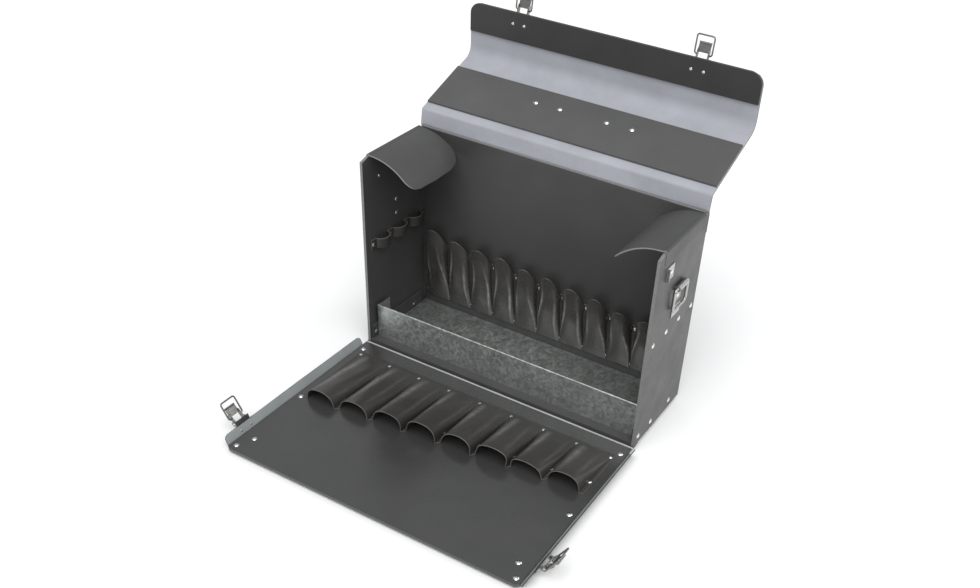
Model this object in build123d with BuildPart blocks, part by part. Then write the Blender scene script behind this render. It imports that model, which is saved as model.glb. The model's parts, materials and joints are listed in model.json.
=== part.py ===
"""Leatherboard tool case: drop front, fold-back lid, tool pockets, metal tray and draw latches."""
import os
from math import asin, cos, radians, sin, tan

from build123d import *

os.makedirs("parts", exist_ok=True)

# Gaps and cutting reach
fit_gap = 0.5
fold_gap = 0.3
running_gap = 0.05
overrun = 6.0

# Case body
case_width = 430.0
case_depth = 139.0
side_height = 279.0
board = 4.0
sole_height = 8.0
sole_inset = 16.0
corner_run = 12.0
corner_drop = 3.5
tab_thickness = 3.0
tab_height = 20.0
tab_setback = 4.0
tab_back_gap = 15.0

# Ears on the side panels
ear_setback = 15.0
ear_back_gap = 9.0
ear_reach = 80.0
ear_thickness = 2.0
ear_root_gap = 0.8
ear_droop = 29.0
ear_curl = 56.0
ear_front_corner = 20.0
ear_back_corner = 25.0

# Metal tray
tray_sheet = 1.0
tray_setback = 15.0
tray_wall = 50.0
tray_return = 28.0
tray_hem = 1.4

# Front panel and its hinge
panel_overlap = 11.0
panel_corner = 6.0
hinge_ahead = 2.5
hinge_strip_depth = 14.0
hinge_strip_thickness = 1.6

# Front flanges
flange_thickness = 1.2
flange_height = 14.5
flange_splay = 24.0
flange_bead = 1.4
flange_outset = 2.2
flange_leg = 12.2
flange_start = 8.0
flange_end = 6.0
flange_tab_reach = 28.0
flange_tab_width = 26.0

# Lid
skin = 1.2
lid_bead = 1.2
rear_length = 24.0
rear_angle = 82.0
rear_angle_closed = 150.0
lid_length = 127.0
lid_angle = 19.5
lid_board = 3.0
lid_board_start = 13.0
lid_board_length = 79.0
lid_board_inset = 1.0
flap_length = 72.0
flap_angle = 90.5
flap_board_start = 33.0
flap_corner = 16.0

# Front pockets
front_pocket_count = 8
front_pitch_share = 0.11628
front_sheet = 1.4
front_land = 1.2
front_rear_reach = 30.5
front_closed_end = 8.0
front_mouth_reach = 135.0
front_mouth_share = 0.108
front_land_setback = 4.0
front_strip_margin = 3.5
front_rear_land = 7.0
front_rear_leg = 0.8
front_rear_rise_share = 0.0558
front_mouth_land = 5.5
front_mouth_leg = 6.0
front_mouth_rise_share = 0.43
front_rivet_rear = 4.0
front_rivet_mouth = 22.0

# Back pockets
back_pocket_count = 10
back_pitch_share = 0.08837
back_shift = 12.0
back_sheet = 1.2
back_bottom = 18.0
back_top_middle = 98.0
back_top_share = 0.072
back_peak = 26.0
back_scallop_share = 0.16
back_full_height = 124.0
back_strip_margin = 4.0
back_low_land = 11.0
back_low_leg = 1.5
back_low_rise_share = 0.2593
back_top_land = 7.5
back_top_leg = 5.5
back_top_rise_share = 0.459
back_rivet_drop = 5.0
back_rivet_lift = 7.0

# Tool loops on the side panels
loop_count = 3
loop_pitch_share = 0.27338
loop_setback = 15.0
loop_sheet = 1.5
loop_height = 14.0
loop_level = 144.0
loop_land = 12.0
loop_leg = 2.5
loop_rise_share = 0.4
loop_margin = 4.0

# Rivets
rivet_dome_share = 0.38
rivet_shank_share = 0.5
rivet_tail_share = 0.85
rivet_head = 3.6
pocket_rivet_head = 2.6
latch_rivet_head = 2.4
handle_rivet_head = 4.2
drill_length = 30.0
panel_rivet_inset = 8.0
panel_rivet_first = 20.0
panel_rivet_middle_share = 0.538
panel_rivet_last = 10.0
flange_tab_beyond = 10.0
flange_tab_rivet_inset = 18.0
base_rivet_first = 10.0
base_rivet_middle_share = 0.338
base_rivet_last_share = 0.748
base_rivet_lift = 8.0

# Draw latches
latch_plate = 1.2
latch_plate_rear = 14.0
latch_plate_front = 4.0
latch_plate_width = 24.0
latch_ear_offset = 9.5
latch_ear = 1.2
latch_ear_radius = 3.6
latch_pin = 1.5
latch_pin_height = 6.0
latch_pin_length = 20.2
lever_angle = 20.0
lever_width = 16.6
lever_cheek = 1.2
lever_cheek_radius = 3.0
lever_cheek_length = 12.0
lever_web_start = 10.0
lever_length = 22.0
lever_web = 1.2
lever_lip = 1.4
bail_wire = 1.1
bail_pivot = 7.5
bail_length = 24.0
bail_half_width = 12.0
bail_inner = 6.9
bail_bend = 3.0
bail_angle = 8.0
latch_rivet_back = 9.5
latch_rivet_side = 8.8
side_latch_up_flange = 16.5
side_latch_drop = 31.0
lid_latch_inset = 83.0
lid_latch_shift = 5.0
lid_latch_from_edge = 6.0

# Keepers
fitting_plate = 1.2
keeper_width = 19.0
keeper_length = 20.0
keeper_lip = 1.2
keeper_lip_width = 17.0
keeper_lip_height = 4.5
keeper_lip_offset = 12.1
keeper_rivet_along = 11.0
front_keeper_plate = 1.0
front_keeper_height = 3.4

# Strap brackets and rings on the side panels
strap_setback = 71.0
strap_plate_width = 24.0
strap_pivot_drop = 67.0
strap_plate_drop = 44.0
strap_rivet_low = 36.0
strap_rivet_high = 15.0
strap_knuckle = 4.2
ring_wire = 2.0
ring_width = 38.0
ring_drop = 30.0
ring_bend = 5.0

# Carrying handle
handle_along = 65.0
handle_side = 53.5
handle_plate = 1.5
handle_plate_length = 50.0
handle_plate_width = 15.0
handle_rivet_side = 18.5
handle_lug = 2.0
handle_lug_offset = 4.9
handle_lug_radius = 5.0
handle_pin_height = 7.0
handle_pin = 2.0
handle_eye = 7.2
handle_eye_radius = 4.6
handle_bow = 3.0
handle_drop = 36.0
handle_bend = 14.0
handle_sleeve = 8.0
handle_sleeve_length = 72.0

# Positions that follow from the sizes
outer_x = case_width / 2
inner_x = outer_x - board
front_y = -case_depth / 2
back_y = case_depth / 2
wall_y = back_y - board
base_z = sole_height
floor_z = base_z + board
top_z = base_z + side_height
hinge_y = front_y - hinge_ahead
hinge_z = base_z - board / 2
panel_top = hinge_z + board / 2
panel_under = hinge_z - board / 2
panel_start = board / 2 + fold_gap
panel_length = side_height + panel_overlap
flange_length = panel_length - flange_start - flange_end
side_latch_reach = side_height - side_latch_drop
flange_tab_reach_along = side_latch_reach + flange_tab_beyond
tab_length = case_depth - tab_setback - tab_back_gap
ear_axis_x = outer_x - board / 2
ear_length = case_depth - ear_setback - ear_back_gap
lid_latch_side = outer_x - lid_latch_inset
lid_latch_places = [side * lid_latch_side - lid_latch_shift for side in (1, -1)]
strap_pivot_level = side_height - strap_pivot_drop
strap_plate_low = strap_pivot_level - strap_plate_drop
front_pitch = case_width * front_pitch_share
front_rear_width = front_pitch - front_rear_land
front_mouth_width = front_pitch - front_mouth_land
back_pitch = case_width * back_pitch_share
back_centre = -back_shift
back_low_width = back_pitch - back_low_land
back_top_width = back_pitch - back_top_land
loop_pitch = case_depth * loop_pitch_share
loop_width = loop_pitch - loop_land


def save(builder, name):
    """Label a finished piece and write its file."""
    builder.part.label = name
    export_step(builder.part, f"parts/{name}.step")


def blend(low, high, share):
    """Value a share of the way from low to high."""
    return low + (high - low) * share


def seat(origin, normal, along=None):
    """Plane that touches a surface, with its normal pointing away from it."""
    if along is None:
        return Plane(origin=origin, z_dir=normal)
    return Plane(origin=origin, x_dir=along, z_dir=normal)


def drill(seats, head):
    """Cut the rivet holes of a piece inside the open builder."""
    with Locations(*[place.location for place in seats]):
        Cylinder(head * rivet_shank_share + running_gap, drill_length, mode=Mode.SUBTRACT)


def rivet_group(name, seats, grip, head):
    """Domed rivets, each with a head on its seat and a tail on the far side of the grip."""
    height = head * rivet_dome_share
    tail = head * rivet_tail_share
    tail_height = tail * rivet_dome_share
    shank = head * rivet_shank_share

    def crown(radius, rise):
        ball = (radius**2 + rise**2) / (2 * rise)
        turn = asin(radius / ball) / 2
        return ball * sin(turn), rise - ball + ball * cos(turn)

    head_mid = crown(head, height)
    tail_mid = crown(tail, tail_height)
    with BuildPart() as single:
        with BuildSketch(Plane.XZ):
            with BuildLine():
                ThreePointArc((0, height), head_mid, (head, 0))
                Polyline((head, 0), (shank, 0), (shank, -grip), (tail, -grip))
                ThreePointArc((tail, -grip), (tail_mid[0], -grip - tail_mid[1]), (0, -grip - tail_height))
                Line((0, -grip - tail_height), (0, height))
            make_face()
        revolve(axis=Axis.Z)
    with BuildPart() as group:
        with Locations(*[place.location for place in seats]):
            add(single.part)
    save(group, name)


def arch_block(sections):
    """Solid between arched sections, each given as plane, centre, width, leg, rise and dip."""
    with BuildPart() as block:
        for plane, centre, width, leg, rise, dip in sections:
            left, right = centre - width / 2, centre + width / 2
            with BuildSketch(plane):
                with BuildLine():
                    Polyline((left, leg), (left, -dip), (right, -dip), (right, leg))
                    ThreePointArc((right, leg), (centre, leg + rise), (left, leg))
                make_face()
        loft()
    return block.part


def wire_form(plane, points, bend, radius, closed=False):
    """Round wire bent through points in a plane."""
    with BuildPart() as form:
        with BuildLine(plane) as path:
            FilletPolyline(*points, radius=bend, close=closed)
        with BuildSketch(Plane(origin=path.line @ 0, z_dir=path.line % 0)):
            Circle(radius)
        sweep(path=path.line)
    return form.part


def mirrored(part):
    """Copy of a right-hand piece for the left side."""
    with BuildPart() as other:
        mirror(part, about=Plane.YZ)
    return other


# Rivet seats
def side_seats(places):
    """Seats on the outside of both side panels, each place given as setback and level."""
    right = [seat((outer_x, front_y + along, level), (1, 0, 0)) for along, level in places]
    left = [seat((-outer_x, front_y + along, level), (-1, 0, 0)) for along, level in places]
    return right, left


loop_places = [(loop_setback + index * loop_pitch, base_z + loop_level + loop_height / 2)
               for index in range(loop_count + 1)]
base_setbacks = (base_rivet_first, case_depth * base_rivet_middle_share, case_depth * base_rivet_last_share)
base_places = [(along, floor_z + base_rivet_lift) for along in base_setbacks]
strap_places = [(strap_setback, base_z + strap_pivot_level - drop)
                for drop in (strap_rivet_low, strap_rivet_high)]
loop_seats = side_seats(loop_places)
base_seats = side_seats(base_places)
strap_seats = [[seat(place.origin + place.z_dir * fitting_plate, place.z_dir) for place in side]
               for side in side_seats(strap_places)]

# Side latch line: where the latch sits on the flange, and the keeper that it meets when closed
flange_axis_x = outer_x + flange_outset
flange_axis_z = panel_under - flange_thickness / 2
side_latch_y = hinge_y - side_latch_reach
keeper_level = hinge_z + side_latch_reach
flange_axis_closed_y = hinge_y + flange_axis_z - hinge_z
keeper_lip_y = flange_axis_closed_y + side_latch_up_flange + keeper_lip_offset
keeper_rivet_y = keeper_lip_y + keeper_lip + keeper_rivet_along
keeper_seats = [[seat((side * (outer_x + fitting_plate), keeper_rivet_y, keeper_level), (side, 0, 0))]
                for side in (1, -1)]

# Back pocket rivets
back_valleys = [back_centre + (index - back_pocket_count / 2) * back_pitch
                for index in range(back_pocket_count + 1)]


def back_top(x):
    """Level of the back pocket edge at a valley."""
    return base_z + back_top_middle - back_top_share * (x - back_centre)


back_face_y = wall_y - back_sheet
back_seats = [seat((x, back_face_y, back_top(x) - back_rivet_drop), (0, -1, 0)) for x in back_valleys]
back_seats += [seat((x, back_face_y, base_z + back_bottom + back_rivet_lift), (0, -1, 0))
               for x in back_valleys]

# Front pocket rivets
front_valleys = [(index - front_pocket_count / 2) * front_pitch for index in range(front_pocket_count + 1)]


def front_mouth(x):
    """Reach of the front pocket mouths from the hinge line."""
    return front_mouth_reach - front_mouth_share * x


front_face_z = panel_top + front_land
front_seats = [seat((x, hinge_y - front_rear_reach - front_rivet_rear, front_face_z), (0, 0, 1))
               for x in front_valleys]
front_seats += [seat((x, hinge_y - front_mouth(x) + front_rivet_mouth, front_face_z), (0, 0, 1))
                for x in front_valleys]

# Flange rivets on the front panel
panel_rivet_reaches = (panel_rivet_first, panel_length * panel_rivet_middle_share,
                       panel_length - panel_rivet_last)
flange_seats = [seat((side * (outer_x - panel_rivet_inset), hinge_y - reach, panel_top), (0, 0, 1))
                for side in (1, -1) for reach in panel_rivet_reaches]
flange_tab_y = hinge_y - flange_tab_reach_along
flange_seats += [seat((side * (outer_x - flange_tab_rivet_inset), flange_tab_y, panel_top), (0, 0, 1))
                 for side in (1, -1)]

# Lid fold lines, as points in the YZ plane
fold_back = (wall_y + board / 2, top_z)
fold_lid = (fold_back[0] + rear_length * cos(radians(rear_angle)),
            fold_back[1] + rear_length * sin(radians(rear_angle)))
fold_flap = (fold_lid[0] + lid_length * cos(radians(lid_angle)),
             fold_lid[1] + lid_length * sin(radians(lid_angle)))


def fold_plane(point, angle):
    """Profile plane at a fold: x runs away from the fold and y toward the inside of the lid."""
    return Plane(origin=(0, *point), x_dir=(0, cos(radians(angle)), sin(radians(angle))), z_dir=(1, 0, 0))


rear_profile = fold_plane(fold_back, rear_angle)
lid_profile = fold_plane(fold_lid, lid_angle)
flap_profile = fold_plane(fold_flap, flap_angle)


def on_lid(profile, along, inward, x):
    """Point on a lid leaf: distance from its fold, offset toward the inside, and x."""
    return profile.from_local_coords((along, inward, x))


# Handle seats on the outside of the lid
lid_out = -lid_profile.y_dir
handle_seats = [seat(on_lid(lid_profile, handle_along, -skin / 2 - handle_plate, side * handle_side + shift),
                     lid_out, (1, 0, 0))
                for side in (1, -1) for shift in (-handle_rivet_side, handle_rivet_side)]

# Latch planes: x toward the keeper, z away from the piece that carries the latch
flap_out = -flap_profile.y_dir
lid_latch_along = flap_length - lid_latch_from_edge
lid_latch_planes = [seat(on_lid(flap_profile, lid_latch_along, -skin / 2, x), flap_out, flap_profile.x_dir)
                    for x in lid_latch_places]


def side_latch_plane(side):
    """Latch plane on the outside of a flange."""
    lean, rise = sin(radians(flange_splay)), cos(radians(flange_splay))
    up = (side * lean, 0, rise)
    out = (side * rise, 0, -lean)
    point = (side * flange_axis_x + side_latch_up_flange * up[0] + flange_thickness / 2 * out[0],
             side_latch_y,
             flange_axis_z + side_latch_up_flange * up[2] + flange_thickness / 2 * out[2])
    return Plane(origin=point, x_dir=up, z_dir=out)


side_latch_planes = [side_latch_plane(side) for side in (1, -1)]


def latch_seats(plane):
    """Rivet seats on a latch plate."""
    return [seat(plane.from_local_coords((-latch_rivet_back, shift, latch_plate)),
                 plane.z_dir, plane.x_dir)
            for shift in (-latch_rivet_side, latch_rivet_side)]


# Base, back and sides
with BuildPart() as base_panel:
    with Locations((0, (front_y + fit_gap + wall_y) / 2, base_z + board / 2)):
        Box(2 * inner_x, wall_y - front_y - fit_gap, board)
    for side in (1, -1):
        with Locations((side * (inner_x - tab_thickness / 2), front_y + tab_setback + tab_length / 2,
                        floor_z + tab_height / 2)):
            Box(tab_thickness, tab_length, tab_height)
    drill(base_seats[0] + base_seats[1], rivet_head)
save(base_panel, "base_panel")

with BuildPart() as base_sole:
    with Locations((0, 0, sole_height / 2)):
        Box(case_width - 2 * sole_inset, case_depth - 2 * sole_inset, sole_height)
    fillet(base_sole.edges().filter_by(Axis.Z), panel_corner)
save(base_sole, "base_sole")

with BuildPart() as back_panel:
    with Locations((0, wall_y + board / 2, (base_z + top_z) / 2)):
        Box(2 * inner_x, board, side_height)
    with Locations(Location((0, *fold_back), (0, 90, 0))):
        Cylinder(board / 2, 2 * inner_x)
    drill(back_seats, pocket_rivet_head)
save(back_panel, "back_panel")

with BuildPart() as right_side_panel:
    with BuildSketch(Plane.YZ.offset(inner_x)):
        with BuildLine():
            Polyline((front_y, base_z), (back_y, base_z), (back_y, top_z), (front_y + corner_run, top_z),
                     (front_y, top_z - corner_drop), close=True)
        make_face()
    extrude(amount=board)
    with Locations(Location((ear_axis_x, front_y + ear_setback + ear_length / 2, top_z), (90, 0, 0))):
        Cylinder(board / 2, ear_length)
    drill(loop_seats[0] + base_seats[0], rivet_head)
    drill(strap_seats[0] + keeper_seats[0], rivet_head)
save(right_side_panel, "right_side_panel")
left_side_panel = mirrored(right_side_panel.part)
save(left_side_panel, "left_side_panel")
rivet_group("base_rivets", base_seats[0] + base_seats[1], board + tab_thickness, rivet_head)

# Ears
ear_mid_angle = radians(ear_droop)
ear_start_angle = radians(ear_droop - ear_curl / 2)
ear_root = board / 2 + ear_root_gap
ear_start = (ear_axis_x - ear_root * cos(ear_start_angle), top_z - ear_root * sin(ear_start_angle))
ear_end = (ear_start[0] - ear_reach * cos(ear_mid_angle), ear_start[1] - ear_reach * sin(ear_mid_angle))
ear_bow = ear_reach / 2 * tan(radians(ear_curl / 4))
ear_mid = ((ear_start[0] + ear_end[0]) / 2 - ear_bow * sin(ear_mid_angle),
           (ear_start[1] + ear_end[1]) / 2 + ear_bow * cos(ear_mid_angle))
ear_plane = Plane(origin=(0, front_y + ear_setback, 0), x_dir=(1, 0, 0), z_dir=(0, -1, 0))
with BuildPart() as right_ear:
    with BuildSketch(ear_plane):
        with BuildLine():
            ThreePointArc(ear_start, ear_mid, ear_end)
        trace(line_width=ear_thickness)
    extrude(amount=-ear_length)
    with BuildSketch() as ear_plan:
        with Locations(((ear_axis_x + ear_end[0]) / 2, front_y + ear_setback + ear_length / 2)):
            Rectangle(ear_axis_x - ear_end[0] + ear_thickness, ear_length)
        inner_corners = ear_plan.vertices().group_by(Axis.X)[0].sort_by(Axis.Y)
        fillet(inner_corners[0], ear_front_corner)
        fillet(ear_plan.vertices().group_by(Axis.X)[0].sort_by(Axis.Y)[-1], ear_back_corner)
    extrude(amount=top_z + overrun, mode=Mode.INTERSECT)
save(right_ear, "right_ear")
left_ear = mirrored(right_ear.part)
save(left_ear, "left_ear")

# Metal tray
tray_half = inner_x - tab_thickness - fit_gap
tray_front = front_y + tray_setback
tray_back = wall_y - fit_gap
with BuildPart() as base_tray:
    with BuildSketch(Plane.YZ):
        with BuildLine():
            Polyline((tray_front, floor_z), (tray_back, floor_z), (tray_back, floor_z + tray_sheet),
                     (tray_front + tray_sheet, floor_z + tray_sheet),
                     (tray_front + tray_sheet, floor_z + tray_wall),
                     (tray_front, floor_z + tray_wall), close=True)
        make_face()
        with Locations((tray_front + tray_hem, floor_z + tray_wall)):
            Circle(tray_hem)
    extrude(amount=tray_half, both=True)
    for side in (1, -1):
        with Locations((side * (tray_half - tray_sheet / 2), tray_front + tray_return / 2,
                        floor_z + tray_wall / 2)):
            Box(tray_sheet, tray_return, tray_wall)
save(base_tray, "base_tray")

# Back pockets
back_low_z = base_z + back_bottom
back_high_z = back_low_z + back_full_height


def back_section(share, centre, inset, dip):
    """Section of a back pocket at a share of the full height."""
    level = blend(back_low_z, back_high_z, share)
    plane = Plane(origin=(0, wall_y, level), x_dir=(1, 0, 0), z_dir=(0, 0, -1))
    width = blend(back_low_width, back_top_width, share)
    rise = blend(back_low_width * back_low_rise_share, back_top_width * back_top_rise_share, share)
    return plane, centre, width - 2 * inset, blend(back_low_leg, back_top_leg, share), rise - inset, dip


back_reach = overrun / back_full_height
back_centres = [(low + high) / 2 for low, high in zip(back_valleys, back_valleys[1:])]
back_outer = [arch_block([back_section(0, x, 0, 0), back_section(1, x, 0, 0)]) for x in back_centres]
back_inner = [arch_block([back_section(-back_reach, x, back_sheet, overrun),
                          back_section(1 + back_reach, x, back_sheet, overrun)]) for x in back_centres]
back_left = back_valleys[0] - back_strip_margin
back_right = back_valleys[-1] + back_strip_margin
scallop_run = back_pitch * back_scallop_share
scallop_rise = back_peak * 4 / 3
with BuildPart() as back_pocket_strip:
    with Locations(((back_left + back_right) / 2, wall_y - back_sheet / 2, (back_low_z + back_high_z) / 2)):
        Box(back_right - back_left, back_sheet, back_full_height)
    for block in back_outer:
        add(block)
    for block in back_inner:
        add(block, mode=Mode.SUBTRACT)
    with BuildSketch(Plane(origin=(0, wall_y, 0), x_dir=(1, 0, 0), z_dir=(0, -1, 0))):
        with BuildLine():
            Polyline((back_left, back_top(back_left)), (back_left, back_low_z), (back_right, back_low_z),
                     (back_right, back_top(back_right)))
            Line((back_left, back_top(back_left)), (back_valleys[0], back_top(back_valleys[0])))
            for low, high in zip(back_valleys, back_valleys[1:]):
                Bezier((low, back_top(low)), (low + scallop_run, back_top(low) + scallop_rise),
                       (high - scallop_run, back_top(high) + scallop_rise), (high, back_top(high)))
            Line((back_valleys[-1], back_top(back_valleys[-1])), (back_right, back_top(back_right)))
        make_face()
    extrude(amount=case_depth, mode=Mode.INTERSECT)
    drill(back_seats, pocket_rivet_head)
save(back_pocket_strip, "back_pocket_strip")
rivet_group("back_pocket_rivets", back_seats, back_sheet + board, pocket_rivet_head)

# Tool loops
loop_low = base_z + loop_level


def loop_section(level, centre, inset, dip):
    """Section of a tool loop on the right side panel."""
    plane = Plane(origin=(inner_x, 0, level), x_dir=(0, 1, 0), z_dir=(0, 0, 1))
    return plane, centre, loop_width - 2 * inset, loop_leg, loop_width * loop_rise_share - inset, dip


loop_centres = [front_y + loop_setback + (index + 1 / 2) * loop_pitch for index in range(loop_count)]
loop_outer = [arch_block([loop_section(loop_low, y, 0, 0), loop_section(loop_low + loop_height, y, 0, 0)])
              for y in loop_centres]
loop_inner = [arch_block([loop_section(loop_low - overrun, y, loop_sheet, overrun),
                          loop_section(loop_low + loop_height + overrun, y, loop_sheet, overrun)])
              for y in loop_centres]
loop_total = loop_count * loop_pitch
with BuildPart() as right_loop_strip:
    with Locations((inner_x - loop_sheet / 2, front_y + loop_setback + loop_total / 2,
                    loop_low + loop_height / 2)):
        Box(loop_sheet, loop_total + 2 * loop_margin, loop_height)
    for block in loop_outer:
        add(block)
    for block in loop_inner:
        add(block, mode=Mode.SUBTRACT)
    drill(loop_seats[0], rivet_head)
save(right_loop_strip, "right_loop_strip")
left_loop_strip = mirrored(right_loop_strip.part)
save(left_loop_strip, "left_loop_strip")
rivet_group("loop_rivets", loop_seats[0] + loop_seats[1], board + loop_sheet, rivet_head)

# Strap brackets and rings
strap_y = front_y + strap_setback
strap_pivot_x = outer_x + strap_knuckle
strap_pivot_z = base_z + strap_pivot_level
with BuildPart() as right_strap_bracket:
    with Locations((outer_x + fitting_plate / 2, strap_y, (base_z + strap_plate_low + strap_pivot_z) / 2)):
        Box(fitting_plate, strap_plate_width, strap_pivot_level - strap_plate_low)
    with Locations(Location((strap_pivot_x, strap_y, strap_pivot_z), (90, 0, 0))):
        Cylinder(strap_knuckle, strap_plate_width)
        Cylinder(ring_wire + running_gap, strap_plate_width + overrun, mode=Mode.SUBTRACT)
    drill(strap_seats[0], rivet_head)
save(right_strap_bracket, "right_strap_bracket")
left_strap_bracket = mirrored(right_strap_bracket.part)
save(left_strap_bracket, "left_strap_bracket")

ring_plane = Plane(origin=(strap_pivot_x, strap_y, strap_pivot_z), x_dir=(0, 1, 0), z_dir=(1, 0, 0))
ring_points = [(ring_width / 2, 0), (ring_width / 2, -ring_drop), (-ring_width / 2, -ring_drop),
               (-ring_width / 2, 0)]
with BuildPart() as right_strap_ring:
    add(wire_form(ring_plane, ring_points, ring_bend, ring_wire, closed=True))
save(right_strap_ring, "right_strap_ring")
left_strap_ring = mirrored(right_strap_ring.part)
save(left_strap_ring, "left_strap_ring")

# Side keepers
with BuildPart() as right_keeper:
    with Locations((outer_x + fitting_plate / 2, keeper_lip_y + keeper_length / 2, keeper_level)):
        Box(fitting_plate, keeper_length, keeper_width)
    with Locations((outer_x + keeper_lip_height / 2, keeper_lip_y + keeper_lip / 2, keeper_level)):
        Box(keeper_lip_height, keeper_lip, keeper_lip_width)
    drill(keeper_seats[0], rivet_head)
save(right_keeper, "right_keeper")
left_keeper = mirrored(right_keeper.part)
save(left_keeper, "left_keeper")
fitting_seats = strap_seats[0] + strap_seats[1] + keeper_seats[0] + keeper_seats[1]
rivet_group("side_fitting_rivets", fitting_seats, board + fitting_plate, rivet_head)

# Front hinge, panel and flanges
with BuildPart() as front_hinge_strip:
    with BuildSketch(Plane.YZ):
        with Locations((hinge_y, hinge_z)):
            Circle(board / 2)
        with Locations((hinge_y + hinge_strip_depth / 2, base_z - hinge_strip_thickness / 2)):
            Rectangle(hinge_strip_depth, hinge_strip_thickness)
    extrude(amount=outer_x, both=True)
save(front_hinge_strip, "front_hinge_strip")

panel_edge_y = hinge_y - panel_length
with BuildPart() as front_panel:
    with Locations((0, (hinge_y - panel_start + panel_edge_y) / 2, hinge_z)):
        Box(case_width, panel_length - panel_start, board)
    fillet(front_panel.edges().filter_by(Axis.Z).group_by(Axis.Y)[0], panel_corner)
    drill(front_seats, pocket_rivet_head)
    drill(flange_seats, rivet_head)
save(front_panel, "front_panel")

flange_mid_y = hinge_y - flange_start - flange_length / 2
leg_reach = flange_leg + flange_outset
with BuildPart() as right_flange_leg:
    with Locations((flange_axis_x - leg_reach / 2, flange_mid_y, flange_axis_z)):
        Box(leg_reach, flange_length, flange_thickness)
    with Locations((outer_x - flange_tab_reach / 2, flange_tab_y, flange_axis_z)):
        Box(flange_tab_reach, flange_tab_width, flange_thickness)
    with Locations(Location((flange_axis_x, flange_mid_y, flange_axis_z), (90, 0, 0))):
        Cylinder(flange_bead, flange_length)
    drill(flange_seats, rivet_head)
save(right_flange_leg, "right_flange_leg")
left_flange_leg = mirrored(right_flange_leg.part)
save(left_flange_leg, "left_flange_leg")
rivet_group("flange_rivets", flange_seats, board + flange_thickness, rivet_head)

flange_plane = Plane(origin=(flange_axis_x, flange_mid_y, flange_axis_z),
                     x_dir=side_latch_planes[0].x_dir, z_dir=side_latch_planes[0].z_dir)
flange_root = flange_bead + fold_gap
with BuildPart() as right_flange:
    with BuildSketch(flange_plane) as flange_outline:
        with Locations(((flange_root + flange_height) / 2, 0)):
            Rectangle(flange_height - flange_root, flange_length)
        fillet(flange_outline.vertices().group_by(Axis.X)[-1], panel_corner)
    extrude(amount=flange_thickness / 2, both=True)
    drill(latch_seats(side_latch_planes[0]), latch_rivet_head)
save(right_flange, "right_flange")
left_flange = mirrored(right_flange.part)
save(left_flange, "left_flange")

# Front pockets


def front_section(share, centre, inset, dip):
    """Section of a front pocket at a share of the way from its rear end to its mouth."""
    reach = blend(front_rear_reach, front_mouth(centre), share)
    plane = Plane(origin=(0, hinge_y - reach, panel_top), x_dir=(1, 0, 0), z_dir=(0, -1, 0))
    width = blend(front_rear_width, front_mouth_width, share)
    rise = blend(front_rear_width * front_rear_rise_share, front_mouth_width * front_mouth_rise_share, share)
    return plane, centre, width - 2 * inset, blend(front_rear_leg, front_mouth_leg, share), rise - inset, dip


front_centres = [(low + high) / 2 for low, high in zip(front_valleys, front_valleys[1:])]
front_outer = []
front_inner = []
for x in front_centres:
    depth = front_mouth(x) - front_rear_reach
    front_outer.append(arch_block([front_section(0, x, 0, 0), front_section(1, x, 0, 0)]))
    front_inner.append(arch_block([front_section(front_closed_end / depth, x, front_sheet, overrun),
                                   front_section(1 + overrun / depth, x, front_sheet, overrun)]))
front_edge = front_valleys[-1] + front_strip_margin
front_rear_y = hinge_y - front_rear_reach + front_strip_margin
with BuildPart() as front_pocket_strip:
    with BuildSketch(Plane.XY.offset(panel_top)):
        with BuildLine():
            Polyline((-front_edge, front_rear_y), (front_edge, front_rear_y),
                     (front_edge, hinge_y - front_mouth(front_edge) + front_land_setback),
                     (-front_edge, hinge_y - front_mouth(-front_edge) + front_land_setback), close=True)
        make_face()
    extrude(amount=front_land)
    for block in front_outer:
        add(block)
    for block in front_inner:
        add(block, mode=Mode.SUBTRACT)
    drill(front_seats, pocket_rivet_head)
save(front_pocket_strip, "front_pocket_strip")
rivet_group("front_pocket_rivets", front_seats, front_land + board, pocket_rivet_head)

# Front keepers, where the lid latches meet the closed panel
lid_closed_z = fold_back[1] + rear_length * sin(radians(rear_angle_closed))
front_keeper_level = lid_closed_z - lid_latch_along - keeper_lip_offset
front_keeper_y = hinge_y - (front_keeper_level - hinge_z)
with BuildPart() as front_keepers:
    for x in lid_latch_places:
        with Locations((x, front_keeper_y + keeper_length / 2, panel_under - front_keeper_plate / 2)):
            Box(keeper_width, keeper_length, front_keeper_plate)
        with Locations((x, front_keeper_y + keeper_lip / 2, panel_under - front_keeper_height / 2)):
            Box(keeper_lip_width, keeper_lip, front_keeper_height)
save(front_keepers, "front_keepers")

# Lid leaves


def leaf(profile, length, start):
    """Lid skin from a fold to the bead of the next fold."""
    with BuildPart() as piece:
        with BuildSketch(profile):
            with Locations(((start + length) / 2, 0)):
                Rectangle(length - start, skin)
            with Locations((length, 0)):
                Circle(lid_bead)
        extrude(amount=outer_x, both=True)
    return piece


lid_rear_band = leaf(rear_profile, rear_length, panel_start)
save(lid_rear_band, "lid_rear_band")

lid_leaf = leaf(lid_profile, lid_length, lid_bead + fold_gap)
with BuildPart() as lid_skin:
    add(lid_leaf.part)
    drill(handle_seats, handle_rivet_head)
save(lid_skin, "lid_skin")

with BuildPart() as lid_top_board:
    with BuildSketch(lid_profile):
        with Locations((lid_board_start + lid_board_length / 2, skin / 2 + lid_board / 2)):
            Rectangle(lid_board_length, lid_board)
    extrude(amount=outer_x - lid_board_inset, both=True)
    drill(handle_seats, handle_rivet_head)
save(lid_top_board, "lid_top_board")

flap_seats = latch_seats(lid_latch_planes[0]) + latch_seats(lid_latch_planes[1])


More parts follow.
